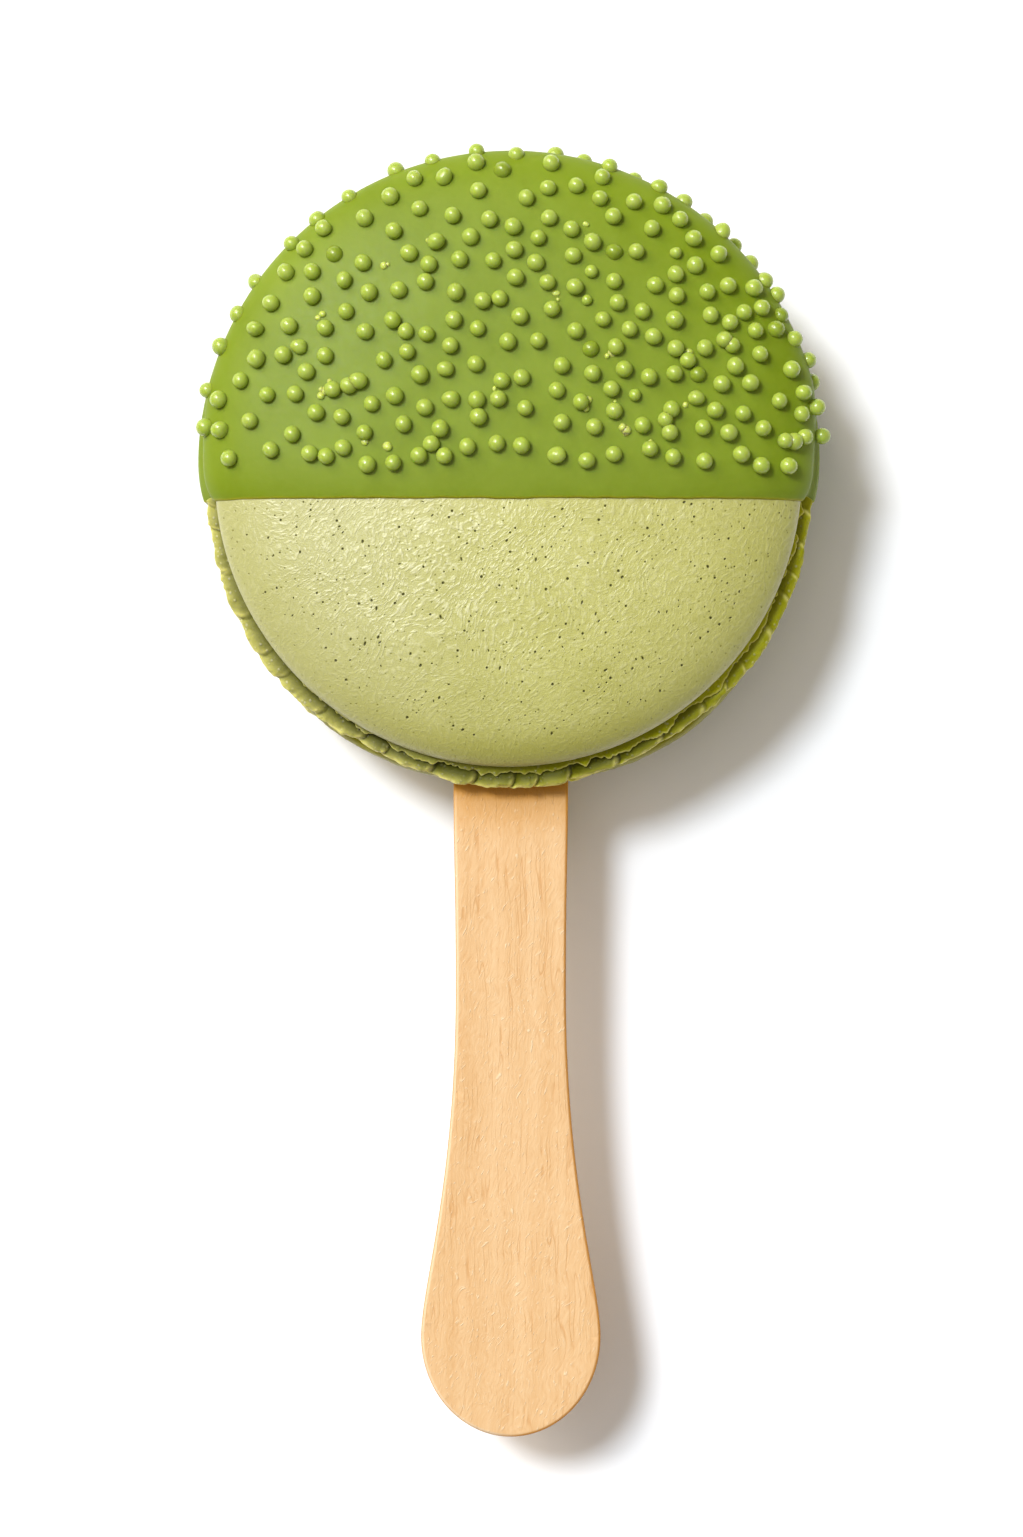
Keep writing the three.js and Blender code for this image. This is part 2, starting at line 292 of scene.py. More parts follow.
class Look:
    """A material while it is made: its node tree, its colour so far, and short names for common nodes.

    A value is a number or another node's output. Sizes are in millimetres."""

    def __init__(self, name, **sockets):
        self.material = bpy.data.materials.new(name)
        self.material.use_nodes = True
        self.tree = self.material.node_tree
        self.shader = self.tree.nodes["Principled BSDF"]
        for socket, value in sockets.items():
            self.shader.inputs[socket.replace("_", " ")].default_value = value
        self.where = self.node("TexCoord").outputs["Object"]
        self.tone = None

    def node(self, kind, *values, **settings):
        """A shader node with its settings, and values for its inputs in their order."""
        node = self.tree.nodes.new("ShaderNode" + kind)
        for name, value in settings.items():
            setattr(node, name, value)
        for socket, value in zip([socket for socket in node.inputs if socket.enabled], values):
            if isinstance(value, bpy.types.NodeSocket):
                self.tree.links.new(value, socket)
            else:
                socket.default_value = value
        return node

    def noise(self, size, detail=2.0, where=None):
        """A noise texture from 0 to 1."""
        return self.node("TexNoise", where or self.where, 1 / (size * MM), detail).outputs["Fac"]

    def dots(self, size, radii, chosen, where=None):
        """Round dots that fade out between two radii, in the cells whose random number is high enough."""
        cells = self.node("TexVoronoi", where or self.where, 1 / (size * MM))
        dots = self.ramp(cells.outputs["Distance"], *radii, 1, 0)
        return self.times(dots, self.ramp(cells.outputs["Color"], *chosen))

    def mark(self, name):
        return self.node("Attribute", attribute_name=name).outputs["Fac"]

    def ramp(self, value, low, high, low_to=0.0, high_to=1.0):
        return self.node("MapRange", value, low, high, low_to, high_to).outputs["Result"]

    def maths(self, operation, *values):
        return self.node("Math", *values, operation=operation).outputs[0]

    def times(self, first, second):
        return self.maths("MULTIPLY", first, second)

    def vectors(self, operation, *values):
        return self.node("VectorMath", *values, operation=operation).outputs[0]

    def warped(self, where, size, reach):
        """The place, moved about smoothly by up to about reach, over features of a size."""
        drift = self.node("TexNoise", where, 1 / (size * MM), 1.0)
        centred = self.vectors("SUBTRACT", drift.outputs["Color"], (0.5, 0.5, 0.5))
        return self.vectors("ADD", where, self.vectors("SCALE", centred, 2 * reach * MM))

    def stretched(self, where, across, along, degrees=0):
        """The place for a texture that is drawn out in two directions, after a turn about Z."""
        turn = (0, 0, math.radians(degrees))
        node = self.node("Mapping", where, (0, 0, 0), turn, (across, along, 1), vector_type="TEXTURE")
        return node.outputs[0]

    def mix(self, share, first, second):
        node = self.node("Mix", share, first, second, data_type="RGBA")
        return [socket for socket in node.outputs if socket.enabled][0]

    def base(self, share, first, second):
        """Starts the material's own colour, from two that are mixed."""
        self.tone = self.mix(share, srgb(*first), srgb(*second))

    def tint(self, share, *colour):
        """Mixes a colour into the material's own, by a share that may be the name of a mark."""
        if isinstance(share, str):
            share = self.mark(share)
        self.tone = self.mix(share, self.tone, srgb(*colour))

    def done(self, height, depth, roughness=None, strength=1.0):
        """Links the colour, the bumps of a depth and the roughness to the shader."""
        filter_width = 0.1
        bumps = self.node("Bump", strength, depth * MM, filter_width, height).outputs[0]
        for name, output in (("Base Color", self.tone), ("Normal", bumps), ("Roughness", roughness)):
            if output:
                self.tree.links.new(output, self.shader.inputs[name])
        return self.material


def shell_material():
    """Baked almond shell: a satin green dome with short raised strokes tinted pale as painted highlight,
    fine pits and dark pores in painted shade, a painted sheen on its left, painted shade towards its rim,
    and a pale rim edge that is partly painted reflection.
    """
    look = Look(
        "baked_shell", Specular_IOR_Level=0.52,
        Subsurface_Weight=0.15, Subsurface_Scale=0.3 * MM, Subsurface_Radius=(1.0, 1.0, 0.25),
    )
    fine = look.noise(0.4)
    wrinkled = look.mark("wrinkled")
    pits = look.dots(0.62, (0.09, 0.2), (0.15, 0.65), look.warped(look.where, 0.3, 0.06))
    # the strokes run slantwise and bend: the place is warped, then stretched along the slant
    bent = look.warped(look.warped(look.where, 7.0, 2.4), 1.6, 0.5)
    strokes = look.ramp(look.noise(0.33, 1.0, look.stretched(bent, 1.9, 1, 52)), 0.46, 0.72)

    look.base(look.ramp(look.noise(7.0, 3.0), 0.3, 0.7), (166, 165, 89), (175, 174, 103))
    look.tint(look.ramp(fine, 0.45, 0.8, 0, 0.6), 148, 145, 68)
    # painted light: a paler, bluer sheen on the left side, where the light falls
    look.tint(look.times(look.mark("lit"), 0.5), 167, 166, 124)
    # painted highlight: the raised strokes are tinted whitish, most where the wrinkles are strongest
    look.tint(look.times(strokes, look.times(wrinkled, 0.8)), 202, 201, 160)
    # painted shade: the small pits are tinted dark
    look.tint(look.times(pits, 0.9), 106, 104, 10)
    # painted shade: darker towards the rim, most at the rim by the stick
    look.tint("baked", 150, 147, 64)
    # painted shade: darker in the pores and in the recess under the rim
    look.tint("deep", 66, 64, 0)
    # a pale edge along the rim's widest line, stronger on the right as painted reflection
    look.tint("pale", 206, 203, 158)

    height = look.times(strokes, look.ramp(wrinkled, 0, 1, 0.15, 0.9))
    height = look.maths("MULTIPLY_ADD", look.noise(0.17), 0.5, height)
    height = look.maths("MULTIPLY_ADD", pits, -0.5, height)
    return look.done(height, 0.064, look.ramp(fine, 0.3, 0.7, 0.34, 0.46))


def foot_material():
    """The shell's ruffled foot: green, with painted shade in its crevices, pale edges, painted light on its
    lobes and left side, and fine raised specks with painted glints.
    """
    look = Look(
        "ruffled_foot", Specular_IOR_Level=0.1,
        Subsurface_Weight=0.35, Subsurface_Scale=0.4 * MM, Subsurface_Radius=(1.0, 1.0, 0.1),
    )
    specks = look.dots(0.6, (0.12, 0.3), (0.15, 0.4))
    lit = look.mark("lit")
    look.base(look.noise(0.8), (154, 156, 0), (172, 170, 14))
    # painted light: the foot paler on its left side, where the light falls
    look.tint(look.times(lit, 0.75), 163, 162, 98)
    # painted highlight: pale glints on the raised specks, most on the left side
    look.tint(look.times(specks, look.ramp(lit, 0, 1, 0.4, 1)), 214, 212, 168)
    # painted shade in the crevice, in the creases between the flaps and on the underside
    look.tint("deep", 54, 56, 0)
    # pale on the skin's torn edge and the lobes' lips, with painted light on the lobes' outer parts, tops
    # and left side
    look.tint("pale", 228, 220, 130)
    height = look.maths("MULTIPLY_ADD", look.noise(0.3), 0.8, specks)
    return look.done(height, 0.06, look.ramp(specks, 0, 1, 0.5, 0.3))


def filling_material():
    """Smooth green filling."""
    look = Look("filling", Roughness=0.45, Specular_IOR_Level=0.25)
    look.base(look.noise(1.6, 3.0), (130, 126, 0), (152, 148, 18))
    return look.done(look.noise(0.5), 0.05)


def coating_material():
    """Satin green coating, a little mottled and translucent, thin and yellower at its dipped edge."""
    look = Look(
        "coating", Specular_IOR_Level=0.22,
        Subsurface_Weight=0.6, Subsurface_Scale=0.7 * MM, Subsurface_Radius=(0.65, 1.0, 0.1),
    )
    fine = look.noise(0.5, 3.0)
    look.base(look.ramp(look.noise(6.0, 3.0), 0.3, 0.7), (110, 129, 14), (118, 137, 27))
    look.tint(look.ramp(fine, 0.4, 0.8, 0, 0.35), 121, 139, 36)
    look.tint("edge", 154, 151, 30)
    return look.done(look.noise(1.1, 3.0), 0.05, look.ramp(fine, 0.3, 0.7, 0.46, 0.56), strength=0.6)


def pearl_material():
    """Small sugar pearls, lime green, translucent, with a soft shine. The specks among them are paler."""
    look = Look(
        "pearl", Specular_IOR_Level=0.5,
        Subsurface_Weight=0.8, Subsurface_Scale=0.7 * MM, Subsurface_Radius=(0.75, 1.0, 0.15),
    )
    shade = look.mark("shade")
    look.base(shade, (148, 167, 60), (158, 174, 76))
    look.tint(look.noise(0.6), 156, 172, 74)
    look.tint(look.ramp(shade, 1, 2), 188, 198, 104)
    look.tint("film", 121, 139, 32)
    return look.done(look.noise(0.7), 0.02, look.ramp(look.noise(0.9), 0.3, 0.7, 0.2, 0.26))


def wood_material():
    """Pale birch: long thin grain lines, fine raised fibres and short pale nicks across them."""
    look = Look("birch", Roughness=0.5, Specular_IOR_Level=0.3)
    waved = look.warped(look.warped(look.where, 10.0, 0.7), 2.5, 0.16)
    long = look.stretched(waved, 1, GRAIN_STRETCH)
    # thin lines, where a noise crosses its middle value
    lines = look.maths("ABSOLUTE", look.maths("SUBTRACT", look.noise(0.6, 0.0, long), 0.5))
    lines = look.ramp(lines, 0, 0.04, 1.0, 0.0)
    lines = look.times(lines, look.ramp(look.noise(4.0, 1.0), 0.4, 0.62, 0.1, 1))
    bent = look.warped(look.where, 2.5, 0.8)
    fibres = look.noise(0.2, 1.0, look.stretched(bent, 7, 1, 80))
    nicks = look.ramp(look.noise(0.22, 1.0, look.stretched(bent, 4, 1, 62)), 0.64, 0.76)
    broad = look.ramp(look.noise(1.3, 3.0, long), 0.3, 0.7)
    look.base(broad, (197, 158, 109), (204, 169, 124))
    look.tint(look.times(look.ramp(fibres, 0.42, 0.25), 0.35), 184, 138, 84)
    look.tint(look.times(look.ramp(fibres, 0.5, 0.7), 0.25), 212, 184, 144)
    look.tint(look.times(lines, 0.6), 180, 130, 72)
    look.tint(look.times(nicks, 0.5), 218, 200, 168)
    # painted light: the left bevel paler, as it faces the light
    look.tint("worn", 224, 206, 178)
    # the stick's sides darker orange; on the right bevel this is painted shade
    look.tint("side", 190, 130, 52)
    # painted shadow: the macaron's shadow on the stick where it goes in
    look.tint("soaked", 188, 126, 0)
    height = look.maths("MULTIPLY_ADD", lines, -0.5, look.maths("MULTIPLY_ADD", fibres, 1.0, nicks))
    return look.done(height, 0.03)


def floor_material():
    """Plain white paper-like floor."""
    look = Look("floor", Roughness=0.9, Specular_IOR_Level=0.1)
    look.tone = look.mix(look.noise(40.0), (0.86, 0.86, 0.86, 1), (0.88, 0.88, 0.88, 1))
    look.tree.links.new(look.tone, look.shader.inputs["Base Color"])
    return look.material


# ---------- the macaron's surfaces

def dome_rise(share, height):
    """How far up a dome of the given height its surface is, at a share of its radius."""
    share = np.clip(share, 0, 1)
    return height * (1 - share**ACROSS_POWER) ** (1 / UP_POWER)


def edge_turns(join, count):
    """From a share of a dome's radius to its widest line: the turns left, and the share at each."""
    start = math.acos(join ** (ACROSS_POWER / 2))
    return [(turn, math.cos(turn) ** (2 / ACROSS_POWER)) for turn in np.linspace(start, 0, count)]


def dome_level(places, shift):
    """The level of a shell's dome over places of the plane."""
    return DOME_RIM_LEVEL + dome_rise(away(places, shift) / DOME_RADIUS, DOME_HEIGHT)


def baked_share(reach, angles):
    """How much painted shade a shell has: a little towards its rim, and most at the rim by the stick."""
    by_stick = toward(angles, 275, 38) * smoothstep(0.9, 1.02, reach)
    return 0.13 * smoothstep(0.7, 0.95, reach) + 0.6 * by_stick


def leftness(angles):
    """1 at the left of the macaron, and 0 at its middle and right."""
    return smoothstep(0.25, 0.75, -np.cos(angles))


def rightness(angles):
    """1 at the right of the macaron, and 0 at its middle and left."""
    return smoothstep(0.35, 0.85, np.cos(angles))


def lobe_places(angles, seed):
    """For each angle, its place from 0 to 1 across its lobe, and that lobe's own random numbers."""
    rng = np.random.default_rng(seed)
    widths = rng.uniform(0.6, 1.6, LOBES)
    edges = np.concatenate([[0], np.cumsum(widths)]) * TURN / widths.sum()
    turn = angles % TURN
    lobe = np.clip(np.searchsorted(edges, turn, side="right") - 1, 0, LOBES - 1)
    across = (turn - edges[lobe]) / (edges[lobe + 1] - edges[lobe])
    return across, rng.uniform(-1, 1, (LOBES, 3))[lobe]


def shell_angles(dense, coarse):
    """Angles round a shell: close together on the bare side, and far apart under the coating."""
    margin = 0.12
    bare = np.linspace(-math.pi - margin, margin, dense)
    covered = np.linspace(margin, math.pi - margin, coarse + 2)[1:-1]
    return np.concatenate([bare, covered])


def rim_rows(angles):
    """Rows over the rim of a shell, from the edge of its cap's mesh, and under it into the recess.

    Like the other rows of a shell, each is a radius, a level from the filling's face, the share of
    the dome's shift that it has, how pale it is, partly as painted light, and how deep in painted shade it
    is."""
    # the rim's pale lip: a pale edge, made stronger on the right as painted reflection
    paleness = 0.3 + 0.6 * smoothstep(-0.2, 0.6, np.cos(angles))
    shade = RECESS_SHADE - 0.6 * rightness(angles)
    for turn, share in edge_turns(DOME_JOIN, DOME_EDGE_ROWS):
        level = DOME_RIM_LEVEL + dome_rise(share, DOME_HEIGHT)
        yield share * DOME_RADIUS, level, 1, paleness * peak(turn, 0, 0.1), 0
    for turn in np.linspace(0, math.pi / 2, 8)[1:]:
        radius = RECESS_RADIUS + (DOME_RADIUS - RECESS_RADIUS) * math.cos(turn)
        level = DOME_RIM_LEVEL - (DOME_RIM_LEVEL - RECESS_LEVEL) * math.sin(turn)
        share = 1 - 0.4 * turn / (math.pi / 2)
        yield radius, level, share, paleness * peak(turn, 0, 0.6), shade * (turn / 1.6) ** 2


def skin_rows(angles, seed):
    """Rows of a shell's thin skin band: out to its torn edge, and back under it into the crevice."""
    right = rightness(angles)
    shade = RECESS_SHADE - 0.6 * right
    torn = 1 - 1.7 * np.abs(around(angles, 2.1, seed + 1)) + 0.75 * np.abs(around(angles, 0.7, seed + 2))
    torn += 0.25 * around(angles, 0.35, seed + 7)
    edge = SKIN_RADIUS + 0.42 * torn - 0.35 - 0.5 * smoothstep(0.2, 0.5, -np.cos(angles))
    sagging = SKIN_LEVEL + 0.18 * around(angles, 4.0, seed + 3)
    for part in np.linspace(0, 1, 8)[1:]:
        radius = RECESS_RADIUS + (edge - RECESS_RADIUS) * part
        level = RECESS_LEVEL + (sagging - RECESS_LEVEL) * part**1.5
        yield radius, level, 0.6 - 0.4 * part, 0.5 * smoothstep(0.85, 1, part), shade * (1 - 0.5 * part)
    yield edge + 0.03, sagging - 0.07, 0.2, 0.6, 0
    yield edge - 0.03, sagging - 0.15, 0.2, 0.2, 0.4
    for part in np.linspace(0, 1, 4)[1:]:
        radius = edge - 0.03 + (LOBE_ROOT_RADIUS - edge) * part
        level = sagging - 0.15 + (CREVICE_LEVEL - sagging + 0.1) * part
        yield radius, level, 0.2 - 0.1 * part, 0, (0.5 + 0.5 * part) * (1 - 0.4 * right)


def lobe_rows(angles, own_seed, seed):
    """Rows of a shell's lobes, from the crevice over their crown to the filling: overlapping flaps."""
    left, right = leftness(angles), rightness(angles)
    _, own = lobe_places(angles, own_seed)
    crown_radius = LOBE_RADIUS + 0.32 * left - 0.5 * toward(angles, 240, 14) - 0.4 * toward(angles, 303, 15)
    covered_limit = 29.35 - 0.15 * np.cos(angles)
    relief = 1 - 0.6 * right - 0.4 * left
    for part in np.linspace(0, 1, 26)[1:]:
        across, _ = lobe_places(angles + 0.08 * (part - 0.35), own_seed)
        ends = smoothstep(0, 0.12, part) * smoothstep(1, 0.85, part)

        # each lobe swells to its crown, steps up towards one side and is creased at both
        crease = np.abs(2 * across - 1) ** 5
        pillow = 1 - np.abs(2 * across - 1) ** 2.2
        slope = across * smoothstep(1, 0.84, across) - 0.45
        crown = 0.14 * pillow - 0.1 * crease + 0.26 * slope + 0.1 * own[:, 0]
        crown = relief * (crown + 0.1 * around(angles, 9.0, seed + 4)) * (0.4 + 0.6 * part)
        swell = math.sin(math.pi * part**0.72) ** 0.6
        base = LOBE_ROOT_RADIUS + (BASE_RADIUS - LOBE_ROOT_RADIUS) * part
        radius = base + swell * (crown_radius - base + crown)
        lift = relief * (0.5 * slope + 0.3 * own[:, 2] + 0.3 * pillow - 0.3 * crease) + 0.25 * right
        level = CREVICE_LEVEL * (1 - part) + ends * (1 - part) * lift

        # small lumps, and no further out than the coating where it covers them
        here = ring(radius, angles, level)
        lumps = 0.13 * noise(here, 1.5, seed + 8) + 0.1 * noise(here, 0.75, seed + 5)
        lumps = ends * (lumps + (0.05 + 0.04 * left) * noise(here, 0.38, seed + 6))
        covered = smoothstep(DIP_Y - 1.2, DIP_Y - 0.1, radius * np.sin(angles))
        radius = radius + lumps
        radius = radius - covered * np.maximum(radius - covered_limit, 0)
        hidden = smoothstep(DIP_Y + 0.1, DIP_Y + 0.8, radius * np.sin(angles))
        radius = radius - hidden * np.maximum(radius - CREVICE_RADIUS - 0.5, 0)

        # pale on the lobes' outer lips and on the edges of the flaps, with painted light on their outer
        # part, on their tops on the side near the viewer, and on the left side
        outer_lip = 0.55 * peak(part, 0.42, 0.05) * (1 - crease)
        side_lip = 0.55 * peak(across, 0.88, 0.06) * ends
        outside = 0.95 * peak(part, 0.45, 0.17) * (1 - 0.6 * right - 0.6 * left)
        plump = 0.6 * toward(angles, 265, 40) * peak(part, 0.27, 0.12) * np.clip(pillow, 0, 1)
        pale = np.clip(outer_lip + side_lip + outside + plump + 0.1 * left * ends, 0, 1)
        # painted shade near the crevice and in the creases between the flaps
        deep = np.clip((1 - part / 0.3) * (1 - 0.3 * left - 0.5 * right), 0, 1)
        deep = deep + 0.35 * smoothstep(0.9, 1, across) * (1 - part) * relief
        yield radius, level + 0.8 * lumps, 0, pale, np.clip(deep, 0, 1)


def shell_rows(angles, shift, rng, seed):
    """A shell's rows from its dome's edge to its underside, with their marks of paleness with painted
    light, and of painted shade.
    """
    lobes = lobe_rows(angles, int(rng.integers(1 << 30)), seed)
    # the underside is half in painted shade
    underside = [(radius, 0, 0, 0, 0.5) for radius in (27.8, 26.5, 24.0)]
    rows, pale, deep = [], [], []
    for row in itertools.chain(rim_rows(angles), skin_rows(angles, seed), lobes, underside):
        radius, level, share, pale_here, deep_here = row
        rows.append(ring(radius, angles, level, share * shift))
        pale.append(np.broadcast_to(pale_here, angles.shape))
        deep.append(np.broadcast_to(deep_here, angles.shape))
    return np.array(rows), np.array(pale), np.array(deep)


def pores(count, rng, inside):
    """A shell's pores, each as x, y, radius, stretch and direction."""
    found = np.empty((0, 5))
    while len(found) < count:
        place = rng.uniform(-DOME_RADIUS, DOME_RADIUS, 2)
        radius = PORE_RADIUS + PORE_RADIUS_RANGE * rng.random() ** 1.6
        if inside(place) and (away(found, place) > PORE_SPACING).all():
            stretch = rng.choice([1.0, 1.25, 1.7], p=[0.6, 0.28, 0.12])
            found = np.vstack([found, [*place, radius, stretch, rng.uniform(0.2, 2.2)]])
    return found


def pore_ring(pore, share, count):
    """A ring of points round a pore, at a share of its radius."""
    x, y, radius, stretch, direction = pore
    angles = np.arange(count) * TURN / count
    long = share * radius * stretch * np.cos(angles)
    short = share * radius / math.sqrt(stretch) * np.sin(angles)
    cos, sin = math.cos(direction), math.sin(direction)
    return np.stack([x + long * cos - short * sin, y + long * sin + short * cos], -1)


def cap_places(edge, shift, rng, pitch, pore_count):
    """A cap's points over the plane, from those of its edge, and how far each is sunk into a pore."""
    def bare(places):
        """Which places are on the cap's mesh and not under the coating."""
        return (places[..., 1] < DIP_Y + 0.6) & (away(places, shift) < 0.985 * CAP_RADIUS)

    def has_room(place):
        """Whether a place is clear of the coating and of the cap's edge near the stick."""
        return bare(place - (0, 0.8)) and place[1] < DIP_Y - 0.2

    holes = pores(pore_count, rng, has_room)
    grid = hexagonal(pitch, DOME_RADIUS, rng)
    grid = grid[bare(grid) & (away(grid, shift) < CAP_RADIUS - 0.6 * pitch)]
    for hole in holes:
        grid = grid[away(grid, hole) >= PORE_CLEARING]
    coarse = hexagonal(1.4, DOME_RADIUS, rng)
    coarse = coarse[(coarse[:, 1] > DIP_Y + 1.2) & (away(coarse, shift) < CAP_RADIUS - 0.8)]

    places = [edge, grid, coarse]
    sink = [np.zeros(len(edge) + len(grid) + len(coarse))]
    for hole in holes:
        depth = PORE_DEPTH * hole[2]
        for share, count, down in ((1.7, 10, 0.0), (1.3, 10, 0.0), (1.05, 10, 0.02), (0.7, 8, 0.8 * depth)):
            places.append(pore_ring(hole, share, count))
            sink.append(np.full(count, down))
        places.append(hole[None, :2])
        sink.append([depth])
    return np.vstack(places), np.concatenate(sink)


def make_shell(name, node, upper, shift, materials, seed, pitch, dense, pore_count):
    """One shell: a cap with pores, meshed over the plane, joined to the rows of its edge and foot."""
    rng = np.random.default_rng(seed)
    angles = shell_angles(dense, 90)
    columns = len(angles)
    rows, pale, deep = shell_rows(angles, shift, rng, 100 * seed)
    flat, sink = cap_places(rows[0][:, :2], shift, rng, pitch, pore_count)
    reach = away(flat, shift) / CAP_RADIUS
    calm = 1 - smoothstep(0.8, 1.0, reach)
    spot = np.column_stack([flat, np.full(len(flat), 3.0 * seed)])
    swells = 0.05 * noise(spot, 5.0, 11) + 0.03 * noise(spot, 1.9, 12) + 0.012 * noise(spot, 0.8, 13)
    level = dome_level(flat, shift) - sink
    level[columns:] += (calm * swells)[columns:]

    points = np.vstack([np.column_stack([flat, level]), rows[1:].reshape(-1, 3), [[0, 0, 0]]])
    centre = len(points) - 1
    index = np.concatenate([np.arange(columns), np.arange(len(flat), centre)])
    faces = triangulate(flat).tolist()
    foot_start = len(faces) + (DOME_EDGE_ROWS + 2) * columns
    faces += index[strip_faces(len(rows), columns, True)].tolist()
    faces += fan(centre, index[-columns:][::-1])
    if upper:
        points[:, 2] = FILLING_TOP + points[:, 2]
    else:
        points[:, 2] = FILLING_BOTTOM - points[:, 2]
        faces = [face[::-1] for face in faces]

    def whole(cap_values, row_values):
        """A mark over the cap's points, those of the rows past its edge, and the underside's centre."""
        row_values = np.broadcast_to(row_values, pale.shape)
        return np.concatenate([np.broadcast_to(cap_values, len(flat)), row_values[1:].ravel(), [0.0]])

    # wrinkles are strongest on the left of the middle, and fade towards the rim
    rim_wrinkles = 0.25
    strongest = peak(flat[:, 0], -9, 15) * peak(flat[:, 1], -8, 9)
    patchy = 0.8 + 0.2 * noise(spot, 4.0, 14)
    wrinkled = calm * np.clip(0.3 + 0.7 * strongest, 0, 1) * patchy + (1 - calm) * rim_wrinkles
    # painted shade towards the rim
    cap_baked = baked_share(reach, np.arctan2(flat[:, 1] - shift[1], flat[:, 0] - shift[0]))
    row_baked = baked_share(away(rows, shift) / CAP_RADIUS, angles)
    # painted light on the left side of the cap and of the rows
    row_lit = smoothstep(0.1, 0.8, -np.cos(angles - math.radians(20)))
    # the pores get painted shade by how deep they sink
    return make_piece(
        name, points, faces, materials, replaces=(node,), slot="shell",
        second=np.arange(len(faces)) >= foot_start,
        pale=whole(0, pale), deep=whole(np.clip(sink / 0.06, 0, 1), deep),
        wrinkled=whole(wrinkled, rim_wrinkles), baked=whole(cap_baked, row_baked),
        lit=whole(smoothstep(5, -22, flat[:, 0]), row_lit),
    )


def make_filling():
    """The filling's disc, with a soft edge that stands out a little past the feet in places."""
    angles = np.linspace(0, TURN, 900, endpoint=False)
    wave = 0.05 * around(angles, 7.0, 61) + 0.05 * around(angles, 2.2, 62)
    outer = FILLING_RADIUS + wave + 0.42 * toward(angles, 240, 17) + 0.5 * toward(angles, 303, 17)
    rows = []
    for part in np.linspace(0, 1, 22):
        level = FILLING_TOP + (FILLING_BOTTOM - FILLING_TOP) * part
        tuck = 0.55 * abs(2 * part - 1) ** 4
        here = ring(outer, angles, level)
        radius = outer - tuck + 0.05 * noise(here, 1.1, 63) + 0.03 * noise(here, 0.5, 64)
        rows.append(ring(radius, angles, level))
    points, faces = closed_form(rows, (0, 0, FILLING_TOP), (0, 0, FILLING_BOTTOM))
    return make_piece(
        "filling_cream", points, faces, [filling_material()], replaces=("filling",), slot="filling"
    )


# ---------- the coating

COAT_TOP = FILLING_TOP + SHELL_HEIGHT + COAT_ON_FACE
UPPER_RIM = FILLING_TOP + DOME_RIM_LEVEL
LOWER_RIM = FILLING_BOTTOM - DOME_RIM_LEVEL

# down the upper half of the coating's side, and mirrored on the lower half:
# how far below the rim, how far the coating stands out there, and the radius of the macaron beneath
COAT_SIDE = (
    (0.0, 0.0, DOME_RADIUS),
    (0.9, -0.10, 28.0),
    (1.8, -0.12, 28.5),
    (2.6, 0.0, 29.35),
    (3.6, 0.05, 29.45),
    (4.6, 0.0, 29.3),
    (5.5, -0.1, 29.2),
)

# how far the lines of its mesh are from the dip line, and how many of them go on across its faces
EDGE_STEPS = (0, 0.02, 0.06, 0.12, 0.2, 0.3, 0.45, 0.65, 0.9, 1.2, 1.6, 2.0, 2.5, 3.0, 3.6, 4.3, 5.1, 6.0)
FACE_LINES = 12


def taper(distance):
    """The share of its full thickness that the coating's face has at a distance from the dip line."""
    return 1 - np.exp(-((np.maximum(distance, 0) / COAT_TAPER) ** 0.85))


def rim_taper(distance, room):
    """The same round the rim, for a full thickness of room: a thin start that fills out later."""
    near = np.clip(COAT_RIM_THICKNESS / np.maximum(room, 0.1), 0, 1)
    start = 1 - np.exp(-np.maximum(distance, 0) / COAT_RIM_TAPER)
    return near * start + (1 - near) * smoothstep(3, 12, distance)


def nose(distance):
    """0 at the dip line and 1 a little way in: the coating's rounded edge."""
    return np.sqrt(1 - (1 - np.clip(distance / COAT_EDGE, 0, 1)) ** 2)


def coating_waves(points):
    """How far the coating's surface wanders from its smooth form."""
    return 0.05 * noise(points, 7.0, 31) + 0.02 * noise(points, 2.6, 32)


def coating_cap(flat, upper):
    """Points of the coating's face, front or back. Near the dip line they draw in to the macaron's dome.

    The flat places are those that the points have on the coating's full form. Each keeps its y."""
    shift = UPPER_DOME_SHIFT if upper else LOWER_DOME_SHIFT
    x, y = flat[:, 0], flat[:, 1]
    share = away(flat, COAT_CENTRE) / COAT_RADIUS
    side = np.where(x > COAT_CENTRE[0], 1, -1)
    half = np.sqrt(np.maximum((share * DOME_RADIUS) ** 2 - (y - shift[1]) ** 2, 0))
    under_x = x + (shift[0] + side * half - x) * smoothstep(0.55, 1, share)
    under = dome_level(np.column_stack([under_x, y]), shift)
    if upper:
        sign, under_z = 1, FILLING_TOP + under
        full_z = UPPER_RIM + dome_rise(share, COAT_TOP - UPPER_RIM)
    else:
        sign, under_z = -1, FILLING_BOTTOM - under
        full_z = np.maximum(LOWER_RIM - dome_rise(share, LOWER_RIM + COAT_PRESSED), 0)
    distance = y - DIP_Y
    edge = COAT_EDGE * nose(distance)
    outward = share**6
    skin_x = under_x + side * edge * outward
    skin_z = under_z + sign * edge * (1 - outward)
    rim = smoothstep(0.75, 1, share)
    fill = (1 - rim) * taper(distance) + rim * rim_taper(distance, np.abs(x - skin_x))
    points = np.column_stack([skin_x + (x - skin_x) * fill, y, skin_z + (full_z - skin_z) * fill])
    points[:, 2] += coating_waves(points) * fill * (1 - rim) * sign
    points[:, 2] = np.maximum(points[:, 2], 0)
    return points


def side_angles(radius, columns):
    """Angles of a row from the dip line round the end and back to it, close together at the dip line."""
    first = np.arcsin((DIP_Y + np.array(EDGE_STEPS) - COAT_CENTRE[1]) / radius)
    middle = np.linspace(first[-1], math.pi - first[-1], columns)[1:-1]
    return np.concatenate([first, middle, math.pi - first[::-1]])


